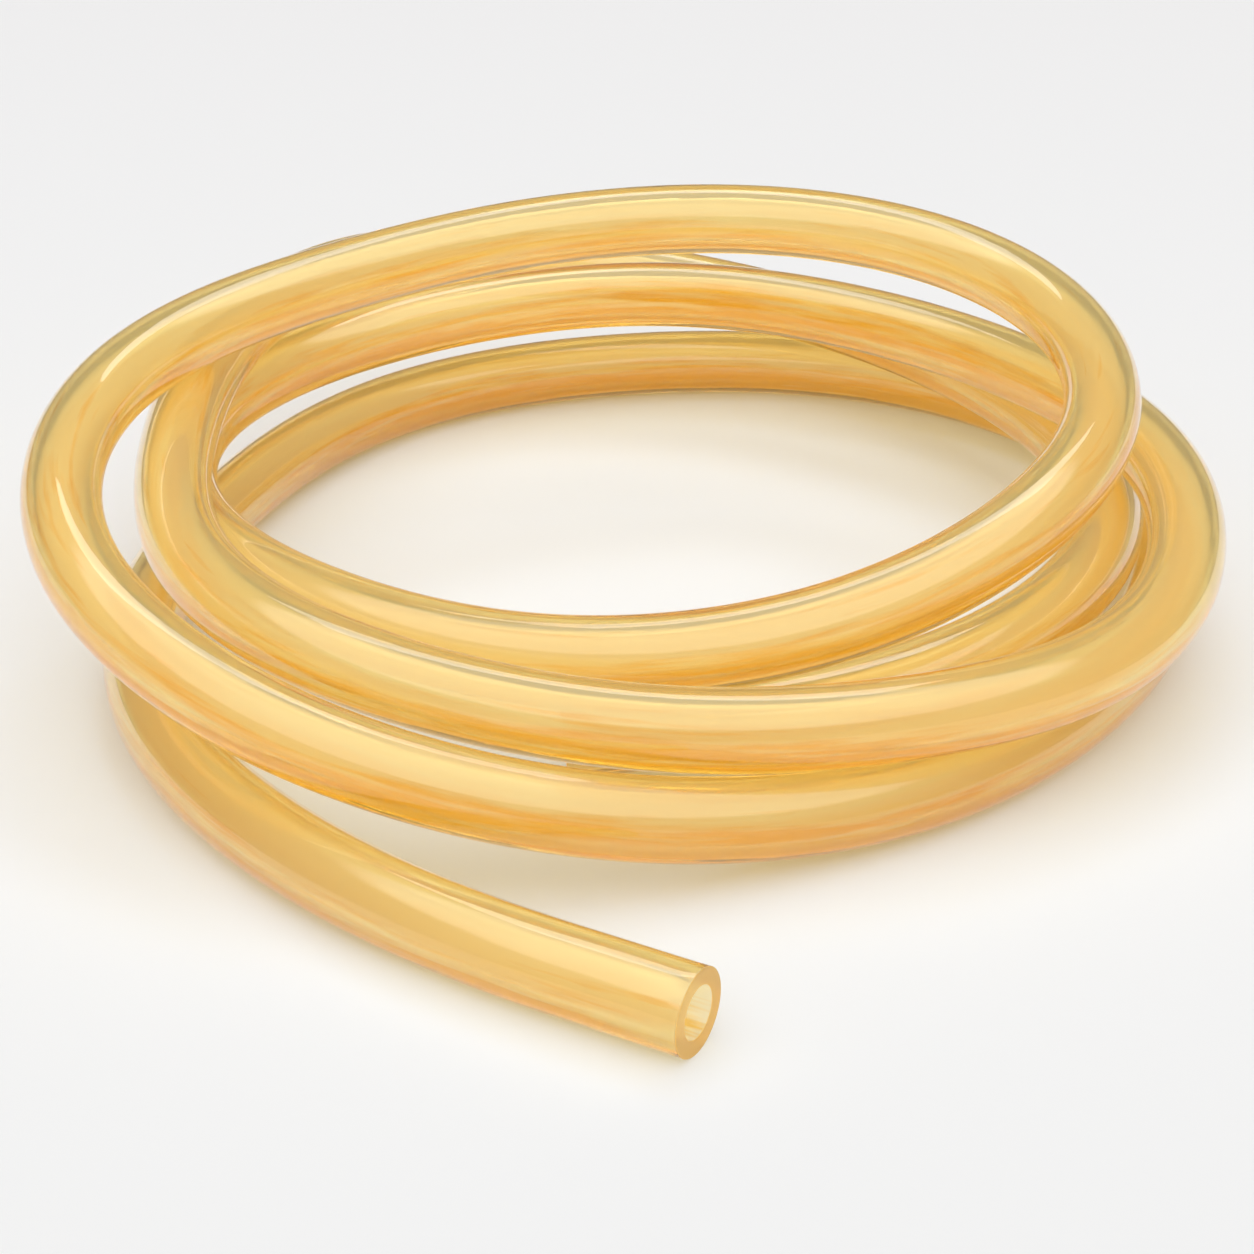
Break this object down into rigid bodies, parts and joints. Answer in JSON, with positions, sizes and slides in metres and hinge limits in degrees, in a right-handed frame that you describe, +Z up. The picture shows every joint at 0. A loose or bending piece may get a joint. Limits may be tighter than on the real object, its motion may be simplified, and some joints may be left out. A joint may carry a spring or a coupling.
{
  "type": "tubing coil",
  "caption": "Loose coil of amber, thick-walled rubber tubing with square-cut open ends, for joining glass or metal spigots.",
  "frame": {"origin": "centre of the coil's plan, on the floor that it lies on", "axes": "+Z up, -Y towards the loose end in front of the coil, +X to the right seen from there"},
  "size_m": [0.1562, 0.1964, 0.0459],
  "materials": {
    "amber_rubber": "gloss"
  },
  "bodies": {
    "root": {"rubber_tube": "amber_rubber"}
  },
  "joints": []
}
